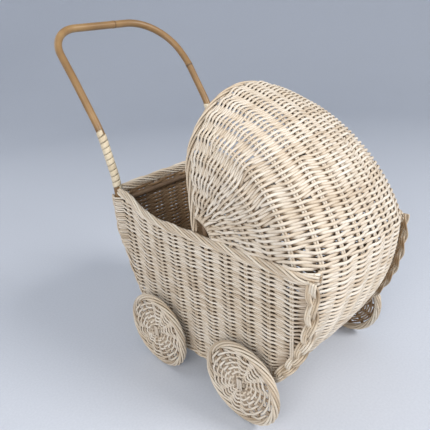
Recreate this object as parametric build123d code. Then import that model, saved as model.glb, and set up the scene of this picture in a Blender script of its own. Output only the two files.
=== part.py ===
"""Woven cane doll pram: a rounded tub with a fixed hood, a bent cane handle and four woven wheels.

Millimetres. +X is the pram's right, +Y is forward (the hood end), +Z is up.
The origin is on the floor, under the middle of the whole pram.
Inside this file lengths are first laid out from the middle of the tub's rim, and save() shifts them.
"""

from build123d import *
from math import atan2, cos, degrees, radians, sin, sqrt
import os

# Tub: side outline of the outer surface, in the Y-Z plane
floor_height = 40.0            # underside of the floor above the ground
flat_rear = -63.0              # the flat part of the floor runs from here
flat_front = 41.0              # to here
bilge_radius = 130.0           # curve between floor and end walls
front_turn = 57.0              # degrees turned by the front bilge curve
rear_turn = 65.0               # degrees turned by the rear bilge curve
front_wall_radius = 330.0
rear_wall_radius = 310.0

# Rim line, seen from the side
rim_height = 285.0             # along the sides and under the hood
rim_rise = 33.0                # lift of the rim at the handle end
rise_start = -90.0             # the rim starts to lift here
rear_edge = -208.0             # and is level again here
rim_depth = 15.0               # height of the rolled border
rim_width = 10.0
rim_centre_x = 123.5

# Weave and edges
panel_inner_x = 120.0          # inside face of a side panel
weave = 4.0                    # thickness of a woven panel
end_skin = 3.0                 # the end walls and floor lie this far inside the side outline
floor_half_width = 118.8
front_half_width = 112.8
front_bulge = 20.8             # forward swell of the front wall at the rim
plait_radius = 8.0             # plaited border of the front corners
plait_inset = 6.0
plait_x = 121.0
plait_end = 12.0               # degrees that the plait runs on round the bilge
edging_radius = 4.0            # thin border of the rear corners and bottom edges
edging_x = 123.0
gap = 0.2                      # clearance between neighbouring woven pieces
front_foot_bulge = 0.6         # the swell's last trace at the wall's foot
border_overhang = 3.0          # the rear rim border stands this far behind the rim line's end
border_round = 3.0             # rounded long edges of the rear rim border
bush_hole_ease = 0.15          # the holes in the panels are this much larger than the bushes
beyond = 400.0                 # trimming solids reach at least this far past the tub

# Hood: a fan of arches about a line across the rim
pivot_y = -3.0
hood_half_width = 127.0
hood_top = 198.0               # reach of the arch that stands upright
hood_middle = 188.0            # reach of the arch at 45 degrees
hood_front = 224.0             # reach of the arch that lies flat on the rim
hood_hole = 16.0               # radius of the small gap left at the pivot
crown_radius = (134.6, 400.0)  # top curve of the upright and of the lowest arch
shoulder_radius = (95.0, 60.0)
hood_sections = 7
hood_edge_radius = 6.0
bow_radius = 4.0
bow_inset = 13.0               # the bow lies this far inside the hood's outline
bow_y = 6.0
bow_foot = 180.0

# Handle: the cane's bend points on the right side, from its foot up to the corner of the grip
cane_radius = 6.5
arm_x = 121.0
arm_y = -203.0
arm_foot = 215.0
knee = (arm_x, arm_y, 334.0)
elbow = (125.5, -216.0, 411.0)
upper_arm = (126.5, -266.0, 491.0)
grip_corner = (120.0, -334.0, 568.5)
arm_bends = [100, 90, 150]
right_corner_bend = 54.0
left_corner_bend = 85.0
binding_radius = 8.0
binding_ends = (322.0, 415.0)
binding_fit = 0.1
rail_radius = 4.5
rail_height = 292.0
front_rail_height = 270.0
front_rail_half = 110.0
rear_rail_gap = 0.3            # between the rear wall and its rail
front_rail_gap = 0.5

# Nails: through the arms into rail and panel, and through the bow into the side panels
nail_radius = 0.8
nail_head_radius = 2.2
nail_head_height = 1.0
arm_nail_length = 20.0
arm_nail_height = 250.0
rail_nail_setback = 2.5
bow_nail_length = 13.0
bow_nail_heights = (200.0, 240.0)

# Wheels and axles
wheel_radius = 72.0
rim_ring = 12.0                # radial depth of the rolled wheel border
tread = 15.0
tread_round = 4.5
wheel_outer_x = 156.8
disc_inner_x = 149.8
axle_y = {"front": 95.0, "rear": -104.0}
axle_radius = 5.0
axle_end_x = 146.8
running_fit = 0.05
bush_radius = 7.0
flange_radius = 10.2
flange = 6.0
bush_outer_x = 126.0
hub_radius = 20.0
hub_inner_x = 141.0
spacer_radius = 9.0
pin_radius = 1.25
pin_setback = 2.0              # each end of a pin stops this far inside the hub's face

forward_reach = pivot_y + hood_front
back_reach = grip_corner[1] - cane_radius
centre_shift = -(forward_reach + back_reach) / 2
sides = {"right": 1, "left": -1}
os.makedirs("parts", exist_ok=True)


def save(name, *solids):
    """Writes one node; several solids make a group."""
    moved = [Pos(0, centre_shift, 0) * solid for solid in solids]
    shape = moved[0] if len(moved) == 1 else Compound(children=moved)
    shape.label = name
    export_step(shape, f"parts/{name}.step")


def rod(start, end, radius):
    """A round bar between two points."""
    path = Line(start, end)
    return sweep(Plane(path @ 0, z_dir=path % 0) * Circle(radius), path=path)


def on_side(shape, side):
    """The right-hand shape, or its mirror image for the left."""
    return shape if side == 1 else mirror(shape, about=Plane.YZ)


# The curves of the side outline. Each end wall's curve is centred on the line through its bilge centre.
bilge_height = floor_height + bilge_radius
front_step = front_wall_radius - bilge_radius
rear_step = rear_wall_radius - bilge_radius
front_centre = (flat_front - front_step * sin(radians(front_turn)),
                bilge_height + front_step * cos(radians(front_turn)))
rear_centre = (flat_rear + rear_step * sin(radians(rear_turn)),
               bilge_height + rear_step * cos(radians(rear_turn)))
front_face_y = front_centre[0] + front_wall_radius
rear_face_y = rear_centre[0] - rear_wall_radius


def outline(inset, top):
    """The tub's side outline moved inwards, closed by a straight line at the height top."""
    front_arc = CenterArc(front_centre, front_wall_radius - inset, front_turn - 90, 90 - front_turn)
    front_bilge = CenterArc((flat_front, bilge_height), bilge_radius - inset, -90, front_turn)
    rear_bilge = CenterArc((flat_rear, bilge_height), bilge_radius - inset, -90 - rear_turn, rear_turn)
    rear_arc = CenterArc(rear_centre, rear_wall_radius - inset, 180, 90 - rear_turn)
    front_top = (front_face_y - inset, top)
    rear_top = (rear_face_y + inset, top)
    edges = [
        Line(rear_bilge @ 1, front_bilge @ 0), front_bilge, front_arc, Line(front_arc @ 1, front_top),
        Line(front_top, rear_top), Line(rear_top, rear_arc @ 0), rear_arc, rear_bilge,
    ]
    return Plane.YZ * make_face(edges)


def slab(inset, top, half_width):
    """The tub's outline as a solid, from side to side."""
    return extrude(Pos(-half_width, 0, 0) * outline(inset, top), amount=2 * half_width, dir=(1, 0, 0))


def above_line(centre, angle):
    """All of the tub on the upper side of a line through centre, at an angle in the Y-Z plane."""
    half = Pos(*centre) * Rot(0, 0, angle) * Rectangle(4 * beyond, 2 * beyond, align=(Align.CENTER, Align.MIN))
    return extrude(Pos(-beyond, 0, 0) * (Plane.YZ * half), amount=2 * beyond, dir=(1, 0, 0))


# The rim line: level, then two equal arcs up to the handle end.
rise_run = rise_start - rear_edge
rise_radius = (rise_run ** 2 + rim_rise ** 2) / (4 * rim_rise)
rise_angle = degrees(atan2(rise_run / 2, rise_radius - rim_rise / 2))


def rim_line(depth):
    """The rim line lowered by depth, from the front to past the rear edge."""
    low = CenterArc((rise_start, rim_height + rise_radius), rise_radius + depth, -90 - rise_angle, rise_angle)
    high_centre = (rear_edge, rim_height + rim_rise - rise_radius)
    high = CenterArc(high_centre, rise_radius - depth, 90 - rise_angle, rise_angle)
    front = Line(low @ 1, (beyond, rim_height - depth))
    back = Line((-beyond, rim_height + rim_rise - depth), high @ 1)
    return [back, high, low, front]


def below_rim(depth):
    """Everything from the ground up to the rim line lowered by depth, as a wide solid."""
    line = rim_line(depth)
    ground = [Line(line[3] @ 1, (beyond, 0)), Line((beyond, 0), (-beyond, 0)), Line((-beyond, 0), line[0] @ 0)]
    face = Plane.YZ * make_face(line + ground)
    return extrude(Pos(-beyond, 0, 0) * face, amount=2 * beyond, dir=(1, 0, 0))


def arc_tube(edges, x, radius):
    """A round rope along arcs and lines drawn in the Y-Z plane, at the distance x from the middle."""
    path = Pos(x, 0, 0) * (Plane.YZ * Wire(edges))
    return sweep(Plane(path @ 0, z_dir=path % 0) * Circle(radius), path=path)


# Side panels, with a hole for each axle bush
rear_rim_bottom = rim_height + rim_rise - rim_depth
plait_top = rim_height - rim_depth - 3 * gap
plait_start = degrees(atan2(front_centre[1] - plait_top, front_wall_radius - plait_inset))
plait_path = [
    CenterArc(front_centre, front_wall_radius - plait_inset, -plait_start, front_turn - 90 + plait_start),
    CenterArc((flat_front, bilge_height), bilge_radius - plait_inset, front_turn - 90, -plait_end),
]
plait = arc_tube(plait_path, plait_x, plait_radius)
plait_clearance = plait_inset + plait_radius + gap
edge_of_plait = above_line((flat_front, bilge_height), front_turn - 90 - plait_end - 1)
edging_inset = 2 * edging_radius + gap
plate = Pos(panel_inner_x, 0, 0) * outline(0, beyond)
plate = extrude(plate, amount=weave, dir=(1, 0, 0))
side_panel = plate & slab(edging_inset, beyond, beyond) & below_rim(rim_depth + gap)
front_half = Pos(0, beyond / 2, beyond / 2) * Box(beyond, beyond, beyond)
rear_half = Pos(0, -beyond / 2, beyond / 2) * Box(beyond, beyond, beyond)
front_strip = (slab(0, beyond, beyond) - slab(plait_clearance, beyond, beyond)) & edge_of_plait & front_half
side_panel -= front_strip
arm_clearance = cane_radius + gap
post_bottom = Align.CENTER, Align.CENTER, Align.MIN
corner_post = Pos(arm_x, arm_y, arm_foot - gap) * Cylinder(arm_clearance, beyond / 2, align=post_bottom)
side_panel -= corner_post
bush_hole = Rot(0, 90, 0) * Cylinder(bush_radius + bush_hole_ease, 4 * weave)
for y in axle_y.values():
    side_panel -= Pos(panel_inner_x, y, wheel_radius) * bush_hole

# Rolled border along each side's rim, and the corner borders
border = below_rim(0) - below_rim(rim_depth)
border_length = front_face_y - arm_y - arm_clearance
border_middle = Pos(rim_centre_x, front_face_y - border_length / 2, rim_height)
border &= border_middle * Box(rim_width, border_length, beyond)
edging_top = degrees(atan2(rear_centre[1] - arm_foot + 1, rear_wall_radius - edging_radius))
edging_path = [
    CenterArc(rear_centre, rear_wall_radius - edging_radius, 180 + edging_top, 90 - rear_turn - edging_top),
    CenterArc((flat_rear, bilge_height), bilge_radius - edging_radius, 270 - rear_turn, rear_turn),
    Line((flat_rear, floor_height + edging_radius), (flat_front, floor_height + edging_radius)),
    CenterArc((flat_front, bilge_height), bilge_radius - edging_radius, -90, front_turn - plait_end - 1),
]
edging = arc_tube(edging_path, edging_x, edging_radius)
for side_name, side in sides.items():
    save(f"{side_name}_side_panel", on_side(side_panel, side))
    save(f"{side_name}_rim_border", on_side(border, side))
    save(f"{side_name}_front_plait", on_side(plait, side))
    save(f"{side_name}_bottom_edging", on_side(edging, side))

# Floor and rear wall: one woven strip bent to the outline
rear_top = rear_rim_bottom - gap
strip = slab(end_skin, rear_top, floor_half_width) - slab(end_skin + weave, beyond, beyond)
front_part = above_line((flat_front, bilge_height), front_turn - 90)
rear_part = above_line((flat_rear, bilge_height), 90 - rear_turn)
rear_panel = strip & rear_part & rear_half
rear_panel = rear_panel - corner_post - mirror(corner_post, about=Plane.YZ)
floor_panel = strip - front_part - rear_part
wide_plait = arc_tube(plait_path, plait_x, plait_radius + gap)
floor_panel = floor_panel - wide_plait - mirror(wide_plait, about=Plane.YZ)
save("rear_panel", rear_panel)
save("floor_panel", floor_panel)

# Rolled border over the rear wall
rear_border_y = rear_edge - border_overhang + rim_width / 2
rear_border_z = rear_rim_bottom + rim_depth / 2
rear_border_length = 2 * (arm_x - arm_clearance)
rear_border = Pos(0, rear_border_y, rear_border_z) * Box(rear_border_length, rim_width, rim_depth)
save("rear_rim_border", fillet(rear_border.edges().filter_by(Axis.X), border_round))


def front_section(angle, rise, bulge):
    """The front wall cut square across at an angle below level, or that high above the level cut."""
    reach = front_wall_radius - end_skin
    plane = Plane(
        (0, front_centre[0], front_centre[1] + rise), x_dir=(1, 0, 0),
        z_dir=(0, sin(radians(angle)), cos(radians(angle))))
    outer = ThreePointArc((-front_half_width, reach), (0, reach + bulge), (front_half_width, reach))
    inner = ThreePointArc(
        (front_half_width, reach - weave), (0, reach - weave + bulge), (-front_half_width, reach - weave))
    return plane * make_face([outer, Line(outer @ 1, inner @ 0), inner, Line(inner @ 1, outer @ 0)])


wall_angle = 90 - front_turn
stations = [1.0, 0.75, 0.5, 0.25, 0.0]
front_sections = [
    front_section(wall_angle * share, 0, front_bulge - (front_bulge - front_foot_bulge) * share ** 2)
    for share in stations]
front_sections.append(front_section(0, rim_height - front_centre[1], front_bulge))
save("front_panel", loft(front_sections))


# Hood
def arch_edges(share, inset, foot):
    """Half-round arch with a wide crown. share runs from 0, upright, to 1, flat on the rim."""
    reach = (hood_top * (1 - share) * (1 - 2 * share) + hood_middle * 4 * share * (1 - share)
             + hood_front * share * (2 * share - 1))
    crown = crown_radius[0] + (crown_radius[1] - crown_radius[0]) * share
    shoulder = shoulder_radius[0] + (shoulder_radius[1] - shoulder_radius[0]) * share
    shoulder_x = hood_half_width - shoulder
    crown_y = reach - crown
    shoulder_y = crown_y + sqrt((crown - shoulder) ** 2 - shoulder_x ** 2)
    turn = degrees(atan2(shoulder_y - crown_y, shoulder_x))
    width = hood_half_width - inset
    return [
        Line((width, foot), (width, shoulder_y)),
        CenterArc((shoulder_x, shoulder_y), shoulder - inset, 0, turn),
        CenterArc((0, crown_y), crown - inset, turn, 180 - 2 * turn),
        CenterArc((-shoulder_x, shoulder_y), shoulder - inset, 180 - turn, turn),
        Line((-width, shoulder_y), (-width, foot)),
    ]


def hood_plane(share, y=pivot_y):
    angle = radians(90 * share)
    return Plane((0, y, rim_height + gap), x_dir=(1, 0, 0), z_dir=(0, -cos(angle), sin(angle)))


def hood_section(share):
    """The hood cut by a plane through its pivot line."""
    outer = arch_edges(share, 0, hood_hole)
    inner = arch_edges(share, weave, hood_hole)
    feet = [Line(outer[0] @ 0, inner[0] @ 0), Line(outer[4] @ 1, inner[4] @ 1)]
    return hood_plane(share) * make_face(outer + inner + feet)


save("hood_panel", loft([hood_section(i / (hood_sections - 1)) for i in range(hood_sections)]))
edge_path = hood_plane(0, pivot_y - hood_edge_radius - gap) * Wire(arch_edges(0, weave / 2, 0.2))
save("hood_edge_border", sweep(
    Plane(edge_path @ 0, z_dir=edge_path % 0) * Circle(hood_edge_radius), path=edge_path))
bow_path = hood_plane(0, bow_y) * Wire(arch_edges(0, bow_inset, bow_foot - rim_height))
hood_bow = sweep(Plane(bow_path @ 0, z_dir=bow_path % 0) * Circle(bow_radius), path=bow_path)
save("hood_bow", hood_bow)

# Handle: one bent cane. Its arms are the rear corner posts of the tub, and are bound above the rim.
right_arm = [(arm_x, arm_y, arm_foot), knee, elbow, upper_arm, grip_corner]
left_arm = [(-x, y, z) for x, y, z in reversed(right_arm)]
bends = arm_bends + [right_corner_bend, left_corner_bend] + arm_bends[::-1]
cane_path = FilletPolyline(*right_arm, *left_arm, radius=bends)
foot_plane = Plane(cane_path @ 0, z_dir=cane_path % 0)
save("handle_bar", sweep(foot_plane * Circle(cane_radius), path=cane_path))
sleeve = sweep(foot_plane * (Circle(binding_radius) - Circle(cane_radius + binding_fit)), path=cane_path)
binding_middle = sum(binding_ends) / 2
binding_length = binding_ends[1] - binding_ends[0]
for side_name, side in sides.items():
    near_arm = Pos(side * arm_x, arm_y, binding_middle) * Box(60, 100, binding_length)
    save(f"{side_name}_handle_binding", sleeve & near_arm)

# Cross rails of cane and the nails
arm_face = arm_x - cane_radius - gap
rear_inner_y = rear_face_y + end_skin + weave
rear_rail_y = rear_inner_y + rail_radius + rear_rail_gap
rear_rail_ends = [(-arm_face, rear_rail_y, rail_height), (arm_face, rear_rail_y, rail_height)]
save("rear_cross_rail", rod(*rear_rail_ends, rail_radius))
front_rail_y = front_face_y - end_skin - weave - rail_radius - front_rail_gap
front_rail_ends = [(x, front_rail_y, front_rail_height) for x in (-front_rail_half, front_rail_half)]
save("front_cross_rail", rod(*front_rail_ends, rail_radius))


def nail(head_point, direction, length):
    """A round-headed nail that starts at head_point."""
    shank = extrude(Plane(head_point, z_dir=direction) * Circle(nail_radius), amount=length)
    head = extrude(Plane(head_point, z_dir=direction) * Circle(nail_head_radius), amount=-nail_head_height)
    return shank + head


arm_nails = []
bow_nails = []
for side in sides.values():
    for y, z in ((rear_rail_y - rail_nail_setback, rail_height), (rear_inner_y - weave / 2, arm_nail_height)):
        arm_nails.append(nail((side * (arm_x + cane_radius), y, z), (-side, 0, 0), arm_nail_length))
    for z in bow_nail_heights:
        start = (side * (hood_half_width - bow_inset - bow_radius), bow_y, z)
        bow_nails.append(nail(start, (side, 0, 0), bow_nail_length))
save("handle_nails", *arm_nails)
save("bow_nails", *bow_nails)


# Running gear: each axle turns in wooden bushes, with a woven wheel fixed on each end
def turned(radius, start, end, y):
    """A round wooden piece about an axle, from the distance start to the distance end."""
    return Pos((start + end) / 2, y, wheel_radius) * Rot(0, 90, 0) * Cylinder(radius, end - start)


for axle_name, y in axle_y.items():
    save(f"{axle_name}_axle", turned(axle_radius, -axle_end_x, axle_end_x, y))
    bore = turned(axle_radius + running_fit, 0, axle_end_x + gap, y)
    flange_start = panel_inner_x - gap - flange
    bush = turned(flange_radius, flange_start, flange_start + flange, y)
    bush = bush + turned(bush_radius, flange_start, bush_outer_x, y) - bore
    spacer = turned(spacer_radius, bush_outer_x + gap, hub_inner_x - gap / 2, y) - bore
    hub = turned(hub_radius, hub_inner_x, disc_inner_x - gap, y) - bore
    disc = turned(wheel_radius - rim_ring - gap, disc_inner_x, disc_inner_x + weave, y)
    ring_middle = (wheel_radius - rim_ring / 2, wheel_outer_x - tread / 2)
    ring_face = Pos(ring_middle[1], y + ring_middle[0]) * RectangleRounded(tread, rim_ring, tread_round)
    ring_axis = Axis((0, y, 0), (1, 0, 0))
    ring = Pos(0, 0, wheel_radius) * revolve(ring_face, axis=ring_axis)
    pin_x = (hub_inner_x + axle_end_x) / 2
    pin = Pos(pin_x, y, wheel_radius) * Cylinder(pin_radius, 2 * (hub_radius - pin_setback))
    save(f"{axle_name}_axle_spacers", spacer, on_side(spacer, -1))
    save(f"{axle_name}_axle_pins", pin, on_side(pin, -1))
    for side_name, side in sides.items():
        save(f"{side_name}_{axle_name}_bush", on_side(bush, side))
        save(f"{side_name}_{axle_name}_hub", on_side(hub, side))
        save(f"{side_name}_{axle_name}_wheel_disc", on_side(disc, side))
        save(f"{side_name}_{axle_name}_wheel_rim", on_side(ring, side))
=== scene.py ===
from bisect import bisect_right
from math import acos, atan2, ceil, cos, exp, hypot, pi, radians, sin, sqrt, tan
from random import Random

import bmesh
import bpy
from mathutils import Matrix, Vector


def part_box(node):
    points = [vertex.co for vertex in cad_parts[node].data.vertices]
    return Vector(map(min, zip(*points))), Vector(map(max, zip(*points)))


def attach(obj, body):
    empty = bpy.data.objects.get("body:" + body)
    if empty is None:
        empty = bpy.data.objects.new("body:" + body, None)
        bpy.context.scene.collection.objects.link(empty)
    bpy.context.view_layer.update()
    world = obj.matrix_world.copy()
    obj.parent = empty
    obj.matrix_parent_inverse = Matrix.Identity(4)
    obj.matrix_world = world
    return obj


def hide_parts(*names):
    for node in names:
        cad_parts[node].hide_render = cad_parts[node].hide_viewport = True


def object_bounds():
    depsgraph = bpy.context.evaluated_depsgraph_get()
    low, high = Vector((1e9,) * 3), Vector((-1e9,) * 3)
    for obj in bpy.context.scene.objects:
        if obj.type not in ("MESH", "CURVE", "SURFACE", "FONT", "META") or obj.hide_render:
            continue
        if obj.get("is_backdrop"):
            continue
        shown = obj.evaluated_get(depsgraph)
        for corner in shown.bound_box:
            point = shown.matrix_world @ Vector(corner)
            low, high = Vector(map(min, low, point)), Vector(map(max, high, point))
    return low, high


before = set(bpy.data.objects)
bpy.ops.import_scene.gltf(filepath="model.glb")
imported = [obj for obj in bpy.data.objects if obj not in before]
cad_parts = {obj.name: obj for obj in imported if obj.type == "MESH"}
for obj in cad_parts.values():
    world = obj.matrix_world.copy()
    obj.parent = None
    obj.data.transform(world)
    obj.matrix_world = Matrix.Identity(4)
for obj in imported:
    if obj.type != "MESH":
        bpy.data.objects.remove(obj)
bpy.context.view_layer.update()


# ---- Side panels ------------------------------------------------------------------------------
# Two flat panels of round cane core in plain weave: single weavers run lengthwise, in front of one
# pair of upright stakes and behind the next. At the rear they turn round the handle's foot.

class Wire:
    """One output of a node. Arithmetic on it adds Math nodes."""

    def __init__(self, finish, socket):
        self.finish = finish
        self.socket = socket

    def maths(self, operation, first, second):
        return self.finish.node("ShaderNodeMath", {"operation": operation}, {0: first, 1: second})

    def __add__(self, other):
        return self.maths("ADD", self, other)

    def __radd__(self, other):
        return self.maths("ADD", other, self)

    def __sub__(self, other):
        return self.maths("SUBTRACT", self, other)

    def __rsub__(self, other):
        return self.maths("SUBTRACT", other, self)

    def __mul__(self, other):
        return self.maths("MULTIPLY", self, other)

    def __rmul__(self, other):
        return self.maths("MULTIPLY", other, self)


class Finish:
    """A material, and the one way in which nodes are added to it."""

    def __init__(self, name):
        self.material = bpy.data.materials.new(name)
        self.material.use_nodes = True
        self.tree = self.material.node_tree
        self.shader = self.tree.nodes["Principled BSDF"]

    def node(self, kind, settings, inputs, output=0):
        made = self.tree.nodes.new(kind)
        for name, value in settings.items():
            if name == "stops":
                ramp = made.color_ramp
                while len(ramp.elements) < len(value):
                    ramp.elements.new(0.5)
                for element, (place, colour) in zip(ramp.elements, value):
                    element.position = place
                    element.color = (*colour, 1)
            else:
                setattr(made, name, value)
        for key, value in inputs.items():
            self.plug(made.inputs[key], value)
        return Wire(self, made.outputs[output])

    def plug(self, socket, value):
        if isinstance(value, Wire):
            self.tree.links.new(value.socket, socket)
        else:
            socket.default_value = value

    def wear(self, **inputs):
        for name, value in inputs.items():
            self.plug(self.shader.inputs[name.replace("_", " ")], value)
        return self.material


def cane_finish(name, pale, brown, dark_tone_and_shade, roughness, shade_and_mark_strength):
    """Round cane: pale where it is worn and browner in long streaks. Its darkest colour is also multiplied in as
    painted shade where the cane lies back behind others, and for the handle's dark joint lines.
    """
    finish = Finish(name)
    tone = finish.node("ShaderNodeAttribute", {"attribute_name": "tone"}, {}, "Fac")
    along = finish.node("ShaderNodeAttribute", {"attribute_name": "along"}, {}, "Fac")
    dip = finish.node("ShaderNodeAttribute", {"attribute_name": "dip"}, {}, "Fac")
    place = finish.node("ShaderNodeTexCoord", {}, {}, "Object")
    lane = finish.node("ShaderNodeCombineXYZ", {}, {"X": along * 14, "Y": tone * 63, "Z": tone * 17})
    streak = finish.node("ShaderNodeTexNoise", {}, {"Vector": lane, "Scale": 1.0, "Detail": 4.0, "Roughness": 0.6})
    patch = finish.node("ShaderNodeTexNoise", {}, {"Vector": place, "Scale": 19.0, "Detail": 3.0})
    fibre = finish.node("ShaderNodeTexNoise", {}, {"Vector": place, "Scale": 900.0, "Detail": 2.0})
    age = streak * 0.62 + patch * 0.42 + tone * 0.45 - 0.3
    body = finish.node("ShaderNodeValToRGB", {"stops": [(0.12, pale), (0.62, brown), (0.95, dark_tone_and_shade)]}, {"Fac": age})
    # Painted shade: the darkest colour is multiplied in where a cane lies back in shade; the same attribute carries
    # the handle's dark joint lines.
    shaded_body = finish.node(
        "ShaderNodeMix", {"data_type": "RGBA", "blend_type": "MULTIPLY"},
        {"Factor": finish.node("ShaderNodeClamp", {}, {0: dip * shade_and_mark_strength}), 6: body, 7: (*dark_tone_and_shade, 1)}, 2)
    bump = finish.node("ShaderNodeBump", {}, {"Strength": 0.35, "Distance": 0.0004, "Height": fibre + streak * 0.8})
    return finish.wear(Base_Color=shaded_body, Roughness=roughness + streak * 0.2, Normal=bump)


weave_finish = cane_finish("Woven cane", (0.82, 0.76, 0.66), (0.66, 0.56, 0.43), (0.33, 0.23, 0.14), 0.42, 0.85)

weaver_pitch = 0.00345
weaver_across = 0.00182
weaver_out = 0.0016
stake_across = 0.0017
stake_out = 0.0017
wave_height = 0.0030
panel_x = 0.1220
side_stake_first = -0.1190
side_stake_step = 0.0385
side_stakes = 10
chance = Random(5)

floor_height = 0.040
bilge_radius = 0.130
bilge_height = 0.170
bilge_rear = -0.00325
bilge_front = 0.10075
front_wall = (-0.06698, 0.27893, 0.330)
rear_wall = (0.15988, 0.24607, 0.310)
front_turn_y = 0.20977
rear_turn_y = -0.12107


def under_outline(y):
    """Height of the tub's outline at y, seen from the side."""
    if y > front_turn_y:
        return front_wall[1] - sqrt(max(front_wall[2] ** 2 - (y - front_wall[0]) ** 2, 0))
    if y < rear_turn_y:
        return rear_wall[1] - sqrt(max(rear_wall[2] ** 2 - (rear_wall[0] - y) ** 2, 0))
    reach = max(y - bilge_front, bilge_rear - y, 0)
    return bilge_height - sqrt(bilge_radius ** 2 - reach ** 2)


def outline_ends(z):
    """Rear and front of the tub's outline at height z."""
    low = sqrt(max(bilge_radius ** 2 - (min(z, bilge_height) - bilge_height) ** 2, 0))
    rear = bilge_rear - low if z < 0.11506 else rear_wall[0] - sqrt(
        rear_wall[2] ** 2 - (min(z, rear_wall[1]) - rear_wall[1]) ** 2)
    front = bilge_front + low if z < 0.09920 else front_wall[0] + sqrt(
        front_wall[2] ** 2 - (z - front_wall[1]) ** 2)
    return rear, front


def rim_rise(y):
    """How far the rim lifts towards the handle: two equal arcs, one the other way up."""
    start, rise, radius = -0.03025, 0.033, 0.1137
    run = min(max(start - y, 0), 0.118)
    if run < 0.059:
        return radius - sqrt(radius ** 2 - run ** 2)
    return rise - radius + sqrt(radius ** 2 - (0.118 - run) ** 2)


def lay_canes(count, rings, across, out, sides=6):
    """A bmesh of straight canes: cane n lies at y = n, and runs from x = 0 to x = 1."""
    bm = bmesh.new()
    bmesh.ops.create_cone(bm, cap_ends=True, segments=sides, radius1=1, radius2=1, depth=1)
    bmesh.ops.rotate(bm, cent=(0, 0, 0), matrix=Matrix.Rotation(pi / 2, 3, "Y"), verts=bm.verts[:])
    bmesh.ops.translate(bm, vec=(0.5, 0, 0), verts=bm.verts[:])
    bmesh.ops.scale(bm, vec=(1, across, out), verts=bm.verts[:])
    long_edges = [e for e in bm.edges if abs(e.verts[0].co.x - e.verts[1].co.x) > 0.5]
    bmesh.ops.subdivide_edges(bm, edges=long_edges, cuts=rings - 1)
    if count > 1:
        bmesh.ops.spin(bm, geom=bm.verts[:] + bm.edges[:] + bm.faces[:], cent=(0, 0, 0), axis=(0, 0, 1),
                       dvec=(0, 1, 0), angle=0.0, steps=count - 1, use_duplicate=True)
    return bm


def weave_in(bm, rings, place, inner_brown_and_shade=0.55):
    """Bend laid canes: place(n, t) gives the middle, sideways and outward directions, distance along and painted
    shade (with the handle's joint marks). The side of a cane that faces inwards is browner, because only the
    outside was bleached; on the cane's flanks between its neighbours this browning is painted shade."""
    deepest = max(vert.co.z for vert in bm.verts)
    layers = [bm.verts.layers.float.new(name) for name in ("along", "tone", "dip")]
    spots = {}
    tones = {}
    for vert in bm.verts:
        cane = round(vert.co.y)
        step = round(vert.co.x * rings)
        if (cane, step) not in spots:
            spots[cane, step] = place(cane, step / rings)
            tones.setdefault(cane, chance.random())
        middle, sideways, outward, distance, dip = spots[cane, step]
        vert[layers[0]] = distance
        vert[layers[1]] = tones[cane]
        # Painted shade: the place's own shade, and more on the cane's flanks and back, which lie between its
        # neighbours.
        vert[layers[2]] = dip + inner_brown_and_shade * max(0, 0.2 - vert.co.z / deepest)
        vert.co = middle + sideways * (vert.co.y - cane) + outward * vert.co.z
    return bm


def join_in(whole, part):
    """Put one bmesh into another."""
    held = bpy.data.meshes.new("held")
    part.to_mesh(held)
    part.free()
    whole.from_mesh(held)
    bpy.data.meshes.remove(held)


def make_piece(bm, name, material, body, slot, *nodes):
    """Finish a bmesh as a piece that rides on a body and stands for its CAD nodes."""
    bmesh.ops.recalc_face_normals(bm, faces=bm.faces[:])
    mesh = bpy.data.meshes.new(name)
    bm.to_mesh(mesh)
    bm.free()
    mesh.materials.append(material)
    mesh.shade_smooth()
    piece = bpy.data.objects.new(name, mesh)
    bpy.context.scene.collection.objects.link(piece)
    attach(piece, body)
    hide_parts(*nodes)
    return piece


def over_and_under(turn):
    """The swing of a weaver: 1 in front of a stake, -1 behind the next, and level between them."""
    nearest = round(turn / pi)
    fall = min(max((abs(turn / pi - nearest) - 0.07) / 0.36, 0), 1)
    return (1 - fall * fall * (3 - 2 * fall)) * (1 if nearest % 2 == 0 else -1)


def painted_dive_shade(swing):
    """How much painted shade a weaver gets, in the darkest colour: most where it goes in behind a stake."""
    return max(0, 0.08 - 1.1 * swing)


def wander(row, place, seed):
    """A small smooth waver, so that no two weavers lie alike."""
    return sin(place * 31.0 + row * 2.4 + seed) * 0.5 + sin(place * 83.0 + row * 5.1 + seed * 3) * 0.5


side_rows = 66
side_rings = 92
first_row_height = 0.0445
panel_height = 0.245
post_y = -0.14325
post_foot = 0.178
post_fade = 0.018
wrap_end = -0.1490
wrap_radius = 0.0090
tuck_start = 0.027
tuck_run = 0.012
tuck_depth = 0.0060
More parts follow.
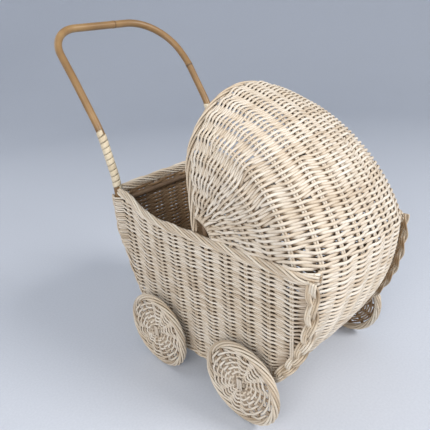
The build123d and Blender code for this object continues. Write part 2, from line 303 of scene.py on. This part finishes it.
# Painted shade on the stakes, which lie back between the weavers.
stake_shade = 0.12
up = Vector((0, 0, 1))
for side, hand in ((1, "right"), (-1, "left")):
    outward = Vector((side, 0, 0))

    def side_weaver(row, t):
        level = first_row_height + row * weaver_pitch
        rear, front = outline_ends(level)
        beside_post = min(max((level - post_foot) / post_fade, 0), 1)
        rear = (rear + 0.004) * (1 - beside_post) + wrap_end * beside_post
        y = rear + (front - 0.006 - rear) * t
        bulge = beside_post * max(0, sqrt(max(wrap_radius ** 2 - (y - post_y) ** 2, 0)) - 0.001)
        tuck = max(0, (y - front + tuck_start) / tuck_run)
        lift = ((level - floor_height) / panel_height) ** 1.5
        swing = over_and_under(pi * (y - side_stake_first) / side_stake_step + pi * row)
        z = level + rim_rise(y) * lift + 0.0004 * wander(row, y, side)
        out = wave_height * swing * (0.4 if bulge > 0 else 1) + bulge - tuck_depth * min(tuck * tuck, 1)
        # Painted shade where the weaver goes in behind a stake, and where it tucks in under the front plait.
        return Vector((side * panel_x, y, z)) + outward * out, up, outward, y, painted_dive_shade(swing) + 0.5 * min(tuck, 1)

    def side_stake(number, t):
        y = side_stake_first + side_stake_step * (number // 2) + (number % 2 - 0.5) * 2 * stake_across
        low = under_outline(y) + 0.003
        z = low + (0.274 + rim_rise(y) - low) * t
        return Vector((side * panel_x, y, z)), Vector((0, 1, 0)), outward, z, stake_shade

    panel = weave_in(lay_canes(side_rows, side_rings, weaver_across, weaver_out), side_rings, side_weaver)
    join_in(panel, weave_in(lay_canes(2 * side_stakes, 12, stake_across, stake_out), 12, side_stake))
    make_piece(panel, f"{hand}_side_weave", weave_finish, "tub", "woven_cane", f"{hand}_side_panel")


# ---- Rear wall, bottom and front wall ---------------------------------------------------------
# One strip of the same cane: its stakes run lengthwise, down the rear, along the bottom and up the
# front, and its weavers cross from side to side. The front wall swells out towards the hood.

weave_inset = 0.0045
outline_runs = (
    (0.05693, (rear_wall[0], 0.303), rear_wall[:2], rear_wall[2], -90, -90),
    (0.13526, rear_wall[:2], rear_wall[:2], rear_wall[2], -90, -65),
    (0.14748, (bilge_rear, bilge_height), (bilge_rear, bilge_height), bilge_radius, -65, 0),
    (0.10400, (bilge_rear, bilge_height), (bilge_front, bilge_height), bilge_radius, 0, 0),
    (0.12933, (bilge_front, bilge_height), (bilge_front, bilge_height), bilge_radius, 0, 57),
    (0.19007, front_wall[:2], front_wall[:2], front_wall[2], 57, 90),
    (0.00600, front_wall[:2], (front_wall[0], 0.285), front_wall[2], 90, 90),
)
outline_length = sum(run[0] for run in outline_runs)


def round_the_tub(distance, inset):
    """Point of the outline's offset, and its outward direction, in the YZ plane, from the rear rim on."""
    for length, start, end, radius, first, last in outline_runs:
        if distance <= length or length == outline_runs[-1][0]:
            share = min(max(distance / length, 0), 1)
            turn = radians(first + (last - first) * share)
            facing = Vector((0, sin(turn), -cos(turn)))
            middle = Vector((0, start[0] + (end[0] - start[0]) * share, start[1] + (end[1] - start[1]) * share))
            return middle + facing * (radius - inset), facing, turn
        distance -= length


front_wall_length = 0.19007
crown_middle = -0.1760
crown_radius = 0.3955
flank_x = 0.079
corner_place = (0.067, 0.1573)
corner_radius = 0.0555
pivot_y = 0.05675
wall_y = 0.25852


def front_swell(x, distance):
    """How far the front wall swells at x: none at its foot, and at its top as far as the hood's lowest row."""
    foot = outline_length - 0.19607
    share = min(max((distance - foot) / front_wall_length, 0), 1)
    reach = crown_middle + sqrt(crown_radius ** 2 - x ** 2)
    if abs(x) > flank_x:
        reach = corner_place[1] + sqrt(max(corner_radius ** 2 - (abs(x) - corner_place[0]) ** 2, 0))
    swell = max(reach + pivot_y - wall_y, -0.003)
    return swell * (1 - (1 - share) ** 2) if distance > foot else 0


strip_stakes = (-0.1030, -0.0704, -0.0353, 0, 0.0353, 0.0704, 0.1030)
strip_rows = int(outline_length / 0.0035)
strip_rings = 58
strip_cane = (0.0023, 0.0019)
rear_wall_end = 0.19
narrow_half = 0.1125
wide_half = 0.1165


def strip_half_width(distance):
    return narrow_half if distance < 0.10 or 0.62 < distance < 0.73 else wide_half


def between_stakes(x, stakes):
    """Where x lies, counted in stakes, so that a weave can swing in front of one and behind the next."""
    spot = min(max(bisect_right(stakes, x), 1), len(stakes) - 1)
    return spot - 1 + (x - stakes[spot - 1]) / (stakes[spot] - stakes[spot - 1])


def strip_weaver(row, t):
    distance = (row + 0.5) * outline_length / strip_rows
    half = strip_half_width(distance)
    x = half * (2 * t - 1)
    swing = over_and_under(pi * (between_stakes(x, strip_stakes) + row))
    point, facing, turn = round_the_tub(distance + 0.0004 * wander(row, x, 2), weave_inset)
    forward = Vector((0, cos(turn), sin(turn)))
    point = point + facing * (wave_height * swing + front_swell(x, distance))
    close = 1.15 if distance < rear_wall_end else 1
    return point + Vector((x, 0, 0)), forward * close, facing, x, painted_dive_shade(swing)


def strip_stake(number, t):
    x = strip_stakes[number // 2] + (number % 2 - 0.5) * 2 * stake_across
    distance = outline_length * t
    point, facing, turn = round_the_tub(distance, weave_inset)
    point = point + facing * front_swell(x, distance)
    return point + Vector((x, 0, 0)), Vector((1, 0, 0)), facing, distance, stake_shade


strip = weave_in(lay_canes(strip_rows, strip_rings, *strip_cane), strip_rings, strip_weaver, 0.9)
join_in(strip, weave_in(lay_canes(2 * len(strip_stakes), 90, stake_across, stake_out), 90, strip_stake))
make_piece(strip, "bottom_weave", weave_finish, "tub", "woven_cane", "rear_panel", "floor_panel", "front_panel")


# ---- Hood --------------------------------------------------------------------------------------
# The hood goes on from the front wall: its stakes bend over from the front in arcs round a point on
# each side of the rim, and the weavers fan out from there over the top, short ones turned back in pairs.

pivot = Vector((0, pivot_y, 0.2852))
hood_half_width = 0.127
hood_bays = 9
hood_pairs = 42
pairs_at_stake = (0, 7, 14, 21, 28, 33, 37, 40, 42, 42)


opening_reach, middle_reach, rim_reach = 0.198, 0.188, 0.224
opening_crown, crown_growth = 0.1346, 0.2654
opening_shoulder, shoulder_loss = 0.095, 0.035


def hood_arch(share, inset):
    """The arch at a share of the fan, 0 at the opening and 1 at the rim: its side, shoulder and crown."""
    reach = (opening_reach * (1 - share) * (1 - 2 * share) + middle_reach * 4 * share * (1 - share)
             + rim_reach * share * (2 * share - 1))
    crown = opening_crown + crown_growth * share
    shoulder = opening_shoulder - shoulder_loss * share
    shoulder_x = hood_half_width - shoulder
    crown_r = reach - crown
    shoulder_r = crown_r + sqrt((crown - shoulder) ** 2 - shoulder_x ** 2)
    turn = atan2(shoulder_r - crown_r, shoulder_x)
    lengths = (shoulder_r, (shoulder - inset) * turn, (crown - inset) * (pi / 2 - turn))
    return lengths, (shoulder_x, shoulder_r, shoulder - inset), (crown_r, crown - inset), turn


def on_hood(share, bays, inset):
    """Point of the hood, sideways and outward directions; bays counts from the right pivot to the left one."""
    lengths, shoulder, crown, turn = hood_arch(share, inset)
    mirrored = -1 if bays > hood_bays else 1
    distance = sum(lengths) * (2 * hood_bays - bays if bays > hood_bays else bays) / hood_bays
    if distance < lengths[0]:
        x, r, lean = hood_half_width - inset, distance, 0
    elif distance < lengths[0] + lengths[1]:
        lean = (distance - lengths[0]) / shoulder[2]
        x = shoulder[0] + shoulder[2] * cos(lean)
        r = shoulder[1] + shoulder[2] * sin(lean)
    else:
        lean = turn + (distance - lengths[0] - lengths[1]) / crown[1]
        x = crown[1] * cos(lean)
        r = crown[0] + crown[1] * sin(lean)
    tilt = share * pi / 2
    away = Vector((0, sin(tilt), cos(tilt)))
    point = pivot + away * r + Vector((mirrored * x, 0, 0))
    outward = away * sin(lean) + Vector((mirrored * cos(lean), 0, 0))
    return point, Vector((0, cos(tilt), -sin(tilt))), outward


first_stake = []
for pair in range(hood_pairs):
    rank = (pair * 0.618034 + 0.37) % 1
    first_stake.append(next(j for j, n in enumerate(pairs_at_stake) if n / hood_pairs > rank))
hood_share = []
for j in range(hood_bays + 1):
    present = [pair for pair in range(hood_pairs) if first_stake[pair] <= max(j, 1)]
    hood_share.append({pair: (n + 0.5) / len(present) for n, pair in enumerate(present)})


def fan_share(row, bays):
    """How far round the fan a weaver lies, between the stakes where it is spread evenly."""
    place = 2 * hood_bays - bays if bays > hood_bays else bays
    pair = row // 2
    low = min(int(place), hood_bays - 1)
    spread = []
    for j in (low, low + 1):
        spot = max(j, first_stake[pair])
        width = 0.5 / len(hood_share[spot])
        spread.append(hood_share[spot][pair] + (row % 2 - 0.5) * width)
    blend = place - low
    blend = blend * blend * (3 - 2 * blend)
    return spread[0] + (spread[1] - spread[0]) * blend


hood_rings = 144
hood_cane = 0.0019
fan_start = 0.012
fan_reach = 0.989
loose_weavers = 1.9
neat_weavers = 0.7


def hood_weaver(row, t):
    first = first_stake[row // 2]
    start = first - (0.03 if first == 1 else 0.45)
    bays = start + (2 * hood_bays - 2 * start) * t
    share = fan_share(row, bays)
    share = fan_start + share * fan_reach
    point, sideways, outward = on_hood(share, bays, weave_inset)
    swing = over_and_under(pi * (bays + row))
    near = min(bays, 2 * hood_bays - bays)
    loose = loose_weavers if near < 3 else neat_weavers
    spread = pi * hypot(point.y - pivot.y, point.z - pivot.z) / (4 * len(hood_share[max(1, min(round(near), 9))]))
    sideways = sideways * min(max(1.08 * spread / weaver_pitch, 0.85), 1.35)
    point = point + outward * wave_height * swing + sideways * (0.0003 * loose * wander(row, bays * 0.03, 4))
    return point, sideways, outward, bays * 0.035, painted_dive_shade(swing)


def hood_stake(number, t):
    bays = 1 + number // 2
    point, away, outward = on_hood(t, bays, weave_inset)
    ahead = on_hood(t, bays + 0.01, weave_inset)[0]
    sideways = (ahead - point).normalized()
    return point + sideways * (number % 2 - 0.5) * 2 * stake_across, sideways, outward, t, stake_shade


coil_turns = 14
coil_radius = 0.0036


def pivot_loops(number, t):
    """Weavers turned back round the innermost stake: a close coil along it."""
    bays = 1 if number == 0 else 2 * hood_bays - 1
    point, ahead, outward = on_hood(0.05 + 0.92 * t, bays, weave_inset)
    sideways = (1 if number == 0 else -1) * ahead.cross(outward)
    turn = 2 * pi * coil_turns * t
    radial = outward * cos(turn) + sideways * sin(turn)
    return point + radial * coil_radius, ahead, radial, t * 0.3, 0.1


hood = weave_in(lay_canes(2 * hood_pairs, hood_rings, hood_cane, weaver_out), hood_rings, hood_weaver, 0.75)
join_in(hood, weave_in(lay_canes(2 * (2 * hood_bays - 1), 36, stake_across, stake_out), 36, hood_stake))
join_in(hood, weave_in(lay_canes(2, 200, 0.0016, 0.0014), 200, pivot_loops))
make_piece(hood, "hood_weave", weave_finish, "tub", "woven_cane", "hood_panel")


# ---- Rim borders -------------------------------------------------------------------------------
# The ends of the stakes are bent down and rolled into a border of parallel strands along each side
# and over the rear wall. Every stake's bundle comes out at the foot, climbs and tucks in behind.

border_finish = cane_finish("Border cane", (0.82, 0.76, 0.65), (0.66, 0.55, 0.41), (0.35, 0.25, 0.15), 0.40, 0.8)
strand_radius = 0.0019
roll_half = (0.0060, 0.0036)
rim_tuck_y = 0.235
rim_tuck_run = 0.028


def rolled(path, length, strands, turns, bundle, half_wide, half_deep, rings):
    """Strands rolled round a path; path(t) gives its middle, sideways and outward directions."""
    def strand(number, t):
        middle, sideways, outward = path(t)
        turn = 2 * pi * (number / strands + turns * t)
        proud = 1 + 0.13 * cos(2 * pi * (number % bundle + 0.5) / bundle - pi)
        offset = sideways * cos(turn) * half_wide * proud + outward * sin(turn) * half_deep * proud
        towards = (sideways * cos(turn) / half_wide + outward * sin(turn) / half_deep).normalized()
        across = towards.cross(sideways.cross(outward))
        # Painted shade on the strands that lie lower in the bundle, between the proud ones.
        return middle + offset, across, towards, length * t, max(0, 0.1 - 2.5 * (proud - 1))
    return weave_in(lay_canes(strands, rings, strand_radius, strand_radius), rings, strand, 0.8)


for side, hand in ((1, "right"), (-1, "left")):
    low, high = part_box(f"{hand}_rim_border")
    middle_x = side * 0.1235

    def rim_path(t):
        y = low.y + 0.002 + (high.y - low.y - 0.004) * t
        slope = (rim_rise(y + 0.001) - rim_rise(y - 0.001)) / 0.002
        upward = Vector((0, -slope, 1)).normalized()
        tuck = max(0, (y - rim_tuck_y) / rim_tuck_run)
        inward = Vector((side * (middle_x * side - 0.016 * tuck * tuck), y, 0.2775 + rim_rise(y)))
        return inward, upward, Vector((side, 0, 0))

    make_piece(rolled(rim_path, 0.40, 8, side * 3.8, 4, *roll_half, 120), f"{hand}_rim_roll", border_finish,
               "tub", "border_cane", f"{hand}_rim_border")

low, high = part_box("rear_rim_border")


def rear_rim_path(t):
    x = low.x + 0.002 + (high.x - low.x - 0.004) * t
    return Vector((x, (low.y + high.y) / 2, (low.z + high.z) / 2)), Vector((0, 0, 1)), Vector((0, -1, 0))


make_piece(rolled(rear_rim_path, 0.23, 8, 2.2, 4, *roll_half, 70), "rear_rim_roll", border_finish,
           "tub", "border_cane", "rear_rim_border")


# ---- Front plaits and bottom edging ------------------------------------------------------------
# Each front corner is closed with a flat plait of long strands, three bundles crossing in shallow
# V's. A thin twist of the same strands covers the edge round the rear and the bottom.

def plaited(path, length, per_bundle, crossings, half_wide, half_deep, rings, radius):
    """A flat plait of three bundles along a path."""
    def strand(number, t):
        middle, sideways, outward = path(t)
        phase = 2 * pi * (number // per_bundle / 3 + crossings * t / 2)
        beside = (number % per_bundle - (per_bundle - 1) / 2) * 2 * radius * 0.96
        spot = sin(phase) * half_wide
        depth = sin(2 * phase) * half_deep
        offset = sideways * (spot + beside) + outward * depth
        # Painted shade where a strand goes in under the others.
        return middle + offset, sideways, outward, length * t, max(0, -depth / half_deep) * 0.7
    return weave_in(lay_canes(3 * per_bundle, rings, radius, radius), rings, strand, 0.55)


plait_foot = 0.5458
plait_top = 0.7620
plait_x = 0.1222
plait_inset = 0.0065
plait_stand_off = 0.0080
post_length = 0.07
post_easing = 0.05
edging_x = 0.1230
edging_inset = 0.0040
for side, hand in ((1, "right"), (-1, "left")):
    def corner_path(t):
        distance = plait_foot + (plait_top - plait_foot) * t
        point, facing, turn = round_the_tub(distance, plait_inset - plait_stand_off * sin(pi * t))
        return point + Vector((side * plait_x, 0, 0)), facing, Vector((side, 0, 0))

    def edging_path(t):
        distance = plait_foot * t
        clear = 1 if distance < post_length else max(0, 1 - (distance - post_length) / post_easing)
        point, facing, turn = round_the_tub(distance, edging_inset - 0.0030 * clear)
        return point + Vector((side * (edging_x + 0.0040 * clear), 0, 0)), facing, Vector((side, 0, 0))

    make_piece(plaited(corner_path, 0.216, 3, 4.4, 0.0044, 0.0040, 110, 0.0017), f"{hand}_front_corner_plait",
               border_finish, "tub", "border_cane", f"{hand}_front_plait")
    edging = rolled(edging_path, 0.546, 3, 7, 3, 0.0026, 0.0026, 200)
    make_piece(edging, f"{hand}_edging_twist", border_finish, "tub", "border_cane", f"{hand}_bottom_edging")


# ---- Border of the hood's opening --------------------------------------------------------------
# The hood ends in four of the same strands, laid nearly parallel over its first arch and closed at
# the rim.

edge_inset = 0.006
edge_overhang = 0.0062


def opening_path(t):
    point, _, outward = on_hood(0, 2 * hood_bays * (0.004 + 0.992 * t), edge_inset)
    return point + Vector((0, -edge_overhang, 0)), Vector((0, -1, 0)), outward


make_piece(rolled(opening_path, 0.55, 4, 4.5, 2, 0.0034, 0.0024, 220), "hood_edge_roll", border_finish,
           "tub", "border_cane", "hood_edge_border")


# ---- Handle ------------------------------------------------------------------------------------
# One thick cane, steamed and bent: up from the rear corners, back, and across at the top. It keeps
# its skin, golden with darker streaks, and its growth joints show as low rings.

handle_radius = 0.0065
arm = ((0.1210, post_y, 0.2150), (0.1210, post_y, 0.3340), (0.1255, -0.15625, 0.4110),
       (0.1265, -0.20625, 0.4910), (0.1200, -0.27425, 0.5685))
route = [Vector(p) for p in arm] + [Vector((-p[0], p[1], p[2])) for p in reversed(arm)]
bends = (0.100, 0.090, 0.150, 0.054, 0.085, 0.150, 0.090, 0.100)


def rounded(points, radii, step):
    """Points along a route whose corners are rounded to their radii."""
    line = [points[0]]
    for before, corner, after, radius in zip(points, points[1:], points[2:], radii):
        back = (before - corner).normalized()
        on = (after - corner).normalized()
        half = acos(max(-1, min(1, back.dot(on)))) / 2
        centre = corner + (back + on).normalized() * (radius / sin(half))
        start = corner + back * (radius / tan(half)) - centre
        end = corner + on * (radius / tan(half)) - centre
        sweep = start.angle(end)
        pieces = max(2, ceil(radius * sweep / step))
        for n in range(pieces + 1):
            line.append(centre + start.normalized().slerp(end.normalized(), n / pieces) * radius)
    line.append(points[-1])
    marks = [0.0]
    for first, second in zip(line, line[1:]):
        marks.append(marks[-1] + (second - first).length)
    return line, marks


def along_route(line, marks, distance):
    """Point and direction at a distance along a rounded route."""
    spot = min(max(bisect_right(marks, distance), 1), len(marks) - 1)
    share = (distance - marks[spot - 1]) / max(marks[spot] - marks[spot - 1], 1e-9)
    return line[spot - 1].lerp(line[spot], share), (line[spot] - line[spot - 1]).normalized()


handle_line, handle_marks = rounded(route, bends, 0.004)
handle_length = handle_marks[-1]
joints = [handle_length * share for share in (0.060, 0.517, 0.709)]
handle_finish = cane_finish("Handle cane", (0.58, 0.40, 0.185), (0.31, 0.18, 0.070), (0.13, 0.07, 0.028), 0.28, 1.0)
handle_rings = 420
loop_facing = Vector((0, 0.75, 0.66))
ring_width = 0.0022
line_width = 0.0008
foot_length = 0.104


def handle_cane(number, t):
    distance = handle_length * t
    point, ahead = along_route(handle_line, handle_marks, distance)
    sideways = ahead.cross(loop_facing).normalized()
    outward = sideways.cross(ahead).normalized()
    ring = sum(exp(-((distance - j) / ring_width) ** 2) for j in joints)
    line = sum(exp(-((distance - j - 0.0025) / line_width) ** 2) for j in joints)
    swell = 1 + 0.07 * ring
    # Painted shade on the feet inside the tub; the dark lines at the growth joints are the cane's own.
    shade_inside_tub = 0.4 if min(distance, handle_length - distance) < foot_length else 0
    return point, sideways * swell, outward * swell, distance, min(1, line) + shade_inside_tub


make_piece(weave_in(lay_canes(1, handle_rings, handle_radius, handle_radius, 14), handle_rings, handle_cane, 0),
           "handle_cane", handle_finish, "tub", "handle_cane", "handle_bar")


# ---- Bindings on the handle --------------------------------------------------------------------
# The foot of each arm is bound with cane peel, a flat strip wrapped tightly, turn beside turn.

peel_finish = cane_finish("Cane peel", (0.80, 0.73, 0.58), (0.72, 0.62, 0.44), (0.48, 0.36, 0.22), 0.34, 0.5)
peel_pitch = 0.0090
peel_half_width = 0.0051
peel_half_thick = 0.0004
peel_start = 0.0995
peel_reach = 0.0970
for side, hand in ((1, "right"), (-1, "left")):
    low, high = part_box(f"{hand}_handle_binding")
    turns = round((high.z - low.z - 0.002) / peel_pitch)
    peel_rings = turns * 20

    def peel(number, t):
        distance = peel_start + peel_reach * t
        if side < 0:
            distance = handle_length - distance
        point, ahead = along_route(handle_line, handle_marks, distance)
        across = ahead.cross(Vector((1, 0, 0))).normalized()
        beside = ahead.cross(across)
        turn = 2 * pi * turns * t
        outward = across * cos(turn) + beside * sin(turn)
        return point + outward * (handle_radius + 0.0006), ahead, outward, t * turns * 0.04, 0.1

    strip_of_peel = lay_canes(1, peel_rings, peel_half_width, peel_half_thick)
    make_piece(weave_in(strip_of_peel, peel_rings, peel, 0.1), f"{hand}_peel_binding", peel_finish,
               "tub", "cane_peel", f"{hand}_handle_binding")


# ---- Wheels ------------------------------------------------------------------------------------
# Four flat discs woven like round basket bottoms: paired spokes cross at the middle, rings of
# weavers go in and out of them, and the spoke ends are rolled into a broad border that is the tyre.

spokes = 14
wheel_pitch = 0.0043
wheel_rings = 11
ring_steps = 128
wheel_wave = 0.0030
first_ring = 0.0145
disc_middle_x = 0.1516
spoke_start = 0.009
spoke_length = 0.053
spoke_half_gap = 0.0018
tyre_middle = 0.0660
for hand, side in (("right", 1), ("left", -1)):
    for place, body in (("front", "front_wheels"), ("rear", "rear_wheels")):
        low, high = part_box(f"{hand}_{place}_wheel_rim")
        middle = Vector((0, (low.y + high.y) / 2, (low.z + high.z) / 2))
        outward = Vector((side, 0, 0))
        disc_x = side * disc_middle_x

        def away(turn):
            return Vector((0, cos(turn), sin(turn)))

        def wheel_ring(ring, t):
            turn = 2 * pi * t + 0.35 * ring
            radius = first_ring + wheel_pitch * ring
            swing = over_and_under(turn * spokes / 2 + pi * ring)
            point = middle + away(turn) * (radius + 0.0002 * wander(ring, t * 0.1, 1))
            point = point + Vector((disc_x, 0, 0)) + outward * wheel_wave * swing
            return point, away(turn), outward, radius * turn, painted_dive_shade(swing)

        def spoke(number, t):
            turn = 2 * pi * (number // 2) / spokes
            radius = spoke_start + spoke_length * t
            beside = Vector((0, -sin(turn), cos(turn)))
            spread = (number % 2 - 0.5) * 2 * spoke_half_gap
            point = middle + away(turn) * radius + beside * spread + Vector((disc_x, 0, 0))
            # Painted shade on the spokes, which lie back between the rings.
            return point, beside, outward, radius, 0.7

        def cross_cane(number, t):
            upright = number // 3
            spread = (number % 3 - 1) * 0.0034
            run = 0.020 * (t - 0.5)
            flat = Vector((0, spread, run)) if upright else Vector((0, run, spread))
            beside = Vector((0, 1, 0)) if upright else Vector((0, 0, 1))
            lift = 0.0022 if upright else -0.0008
            return middle + flat + Vector((disc_x + side * lift, 0, 0)), beside, outward, run, 0.2

        disc = weave_in(lay_canes(wheel_rings, ring_steps, 0.0019, 0.0017), ring_steps, wheel_ring, 0.9)
        join_in(disc, weave_in(lay_canes(2 * spokes, 4, 0.0018, 0.0015), 4, spoke, 0.9))
        join_in(disc, weave_in(lay_canes(6, 6, 0.0017, 0.0014), 6, cross_cane))
        make_piece(disc, f"{hand}_{place}_wheel_weave", weave_finish, body, "woven_cane",
                   f"{hand}_{place}_wheel_disc")

        def tyre_path(t):
            turn = 2 * pi * t
            return middle + away(turn) * tyre_middle + Vector(((low.x + high.x) / 2, 0, 0)), away(turn), outward

        make_piece(rolled(tyre_path, 0.4147, 7, 3 * side, 7, 0.0041, 0.0050, 170), f"{hand}_{place}_wheel_roll",
                   border_finish, body, "border_cane", f"{hand}_{place}_wheel_rim")


# ---- Inner frame -------------------------------------------------------------------------------
# A bow of cane stiffens the hood's opening, and two rails of cane cross under the rim. They keep
# their CAD shapes and take a plain dark brown finish: painted shade, so that they sit back in the shade inside the
# tub.

def plain_finish(name, pale, dark, grain, roughness):
    """Peeled cane or turned wood, with grain drawn along one axis."""
    finish = Finish(name)
    place = finish.node("ShaderNodeTexCoord", {}, {}, "Object")
    drawn = finish.node("ShaderNodeMapping", {}, {"Vector": place, "Scale": grain})
    streak = finish.node("ShaderNodeTexNoise", {},
                         {"Vector": drawn, "Scale": 1.0, "Detail": 5.0, "Roughness": 0.65})
    patch = finish.node("ShaderNodeTexNoise", {}, {"Vector": place, "Scale": 25.0, "Detail": 2.0})
    body = finish.node("ShaderNodeValToRGB", {"stops": [(0.25, pale), (0.8, dark)]},
                       {"Fac": streak * 0.8 + patch * 0.3})
    bump = finish.node("ShaderNodeBump", {}, {"Strength": 0.3, "Distance": 0.0004, "Height": streak})
    return finish.wear(Base_Color=body, Roughness=roughness + streak * 0.2, Normal=bump)


# Painted shade: the frame is coloured dark brown like the shaded inside of the tub.
frame_shade_finish = plain_finish("Frame cane", (0.24, 0.16, 0.09), (0.13, 0.08, 0.05), (40, 160, 160), 0.5)
wood_finish = plain_finish("Turned wood", (0.60, 0.44, 0.26), (0.40, 0.26, 0.13), (20, 260, 260), 0.45)


def dress(names, material):
    """Give CAD nodes a finish."""
    for name in names:
        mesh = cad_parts[name].data
        mesh.materials.clear()
        mesh.materials.append(material)


dress(("hood_bow", "rear_cross_rail", "front_cross_rail"), frame_shade_finish)


# ---- Running gear ------------------------------------------------------------------------------
# Two turned wooden axles run in wooden bushes in the side panels. A spacer and a hub hold each
# wheel, and steel pins and nails fix hub to axle, and cane to cane.

axle_nodes = ["front_axle", "rear_axle", "front_axle_spacers", "rear_axle_spacers"]
for hand in ("right", "left"):
    for place in ("front", "rear"):
        axle_nodes += [f"{hand}_{place}_bush", f"{hand}_{place}_hub"]
dress(axle_nodes, wood_finish)

steel = Finish("Nail steel")
spots = steel.node("ShaderNodeTexNoise", {}, {"Vector": steel.node("ShaderNodeTexCoord", {}, {}, "Object"),
                                               "Scale": 700.0, "Detail": 3.0})
steel_colour = steel.node("ShaderNodeValToRGB", {"stops": [(0.35, (0.42, 0.41, 0.40)), (0.75, (0.20, 0.13, 0.09))]},
                          {"Fac": spots})
dress(("handle_nails", "bow_nails", "front_axle_pins", "rear_axle_pins"),
      steel.wear(Base_Color=steel_colour, Roughness=0.3 + spots * 0.3, Metallic=0.9))


# ---- Studio ------------------------------------------------------------------------------------
# A plain pale blue-grey floor that sweeps up all round, soft lamps in front, above and a weaker one
# behind, and the camera.

floor_finish = Finish("Studio floor")
floor_place = floor_finish.node("ShaderNodeTexCoord", {}, {}, "Object")
grain = floor_finish.node("ShaderNodeTexNoise", {}, {"Vector": floor_place, "Scale": 260.0, "Detail": 3.0})
cloth_tones = [(0.3, (0.58, 0.62, 0.69)), (0.7, (0.62, 0.66, 0.73))]
floor_colour = floor_finish.node("ShaderNodeValToRGB", {"stops": cloth_tones}, {"Fac": grain})
floor_finish.wear(Base_Color=floor_colour, Roughness=0.8)
bm = bmesh.new()
profile = [(0, 0), (2.0, 0)] + [(2.0 + 1.2 * sin(a), 1.2 - 1.2 * cos(a)) for a in (0.3, 0.6, 0.9, 1.2, pi / 2)]
corners = [bm.verts.new((r, 0, z)) for r, z in profile + [(3.2, 3.4)]]
edges = [bm.edges.new(pair) for pair in zip(corners, corners[1:])]
bmesh.ops.spin(bm, geom=corners + edges, cent=(0, 0, 0), axis=(0, 0, 1), angle=2 * pi, steps=64, use_merge=True)
bmesh.ops.remove_doubles(bm, verts=bm.verts[:], dist=0.0001)
bmesh.ops.recalc_face_normals(bm, faces=bm.faces[:])
floor_mesh = bpy.data.meshes.new("studio_floor")
bm.to_mesh(floor_mesh)
bm.free()
floor_mesh.materials.append(floor_finish.material)
floor_mesh.shade_smooth()
studio_floor = bpy.data.objects.new("studio_floor", floor_mesh)
bpy.context.scene.collection.objects.link(studio_floor)
studio_floor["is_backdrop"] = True

world = bpy.data.worlds.new("Studio")
bpy.context.scene.world = world
world.use_nodes = True
world.node_tree.nodes["Background"].inputs["Color"].default_value = (0.70, 0.78, 0.88, 1)
world.node_tree.nodes["Background"].inputs["Strength"].default_value = 0.30

lamps = (
    ("Key", (-0.7, 1.9, 1.8), 0.8, 45, (1.0, 0.97, 0.95)),
    ("Fill", (1.7, 0.9, 1.3), 1.2, 27, (1.0, 0.95, 0.90)),
    ("Top", (0.2, 0.1, 2.4), 1.4, 5, (1.0, 0.99, 0.97)),
    ("Back", (0.6, -1.8, 1.3), 1.6, 9, (1.0, 0.97, 0.94)),
)
for name, place, size, power, colour in lamps:
    lamp = bpy.data.lights.new(name, "AREA")
    lamp.size = size
    lamp.energy = power
    lamp.color = colour
    holder = bpy.data.objects.new(name, lamp)
    holder.location = place
    holder.rotation_euler = (Vector((0, 0.05, 0.25)) - Vector(place)).to_track_quat("-Z", "Y").to_euler()
    bpy.context.scene.collection.objects.link(holder)

bpy.context.scene.view_settings.view_transform = "Standard"

camera_place = Vector((0.5178, 0.5145, 0.5782))
yaw, pitch, roll = radians(227.4), radians(26.5), radians(-5.1)
view = Vector((cos(yaw) * cos(pitch), sin(yaw) * cos(pitch), -sin(pitch)))
level_right = view.cross(Vector((0, 0, 1))).normalized()
level_up = level_right.cross(view)
right = level_right * cos(roll) + level_up * sin(roll)
top = level_up * cos(roll) - level_right * sin(roll)
camera = bpy.data.cameras.new("Camera")
camera.sensor_width = 36
camera.lens = 37.97
camera.shift_x = 0.0116
camera.shift_y = 0.0514
stand = bpy.data.objects.new("Camera", camera)
stand.matrix_world = Matrix((
    (right.x, top.x, -view.x, camera_place.x),
    (right.y, top.y, -view.y, camera_place.y),
    (right.z, top.z, -view.z, camera_place.z),
    (0, 0, 0, 1),
))
bpy.context.scene.collection.objects.link(stand)
bpy.context.scene.camera = stand

low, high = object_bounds()
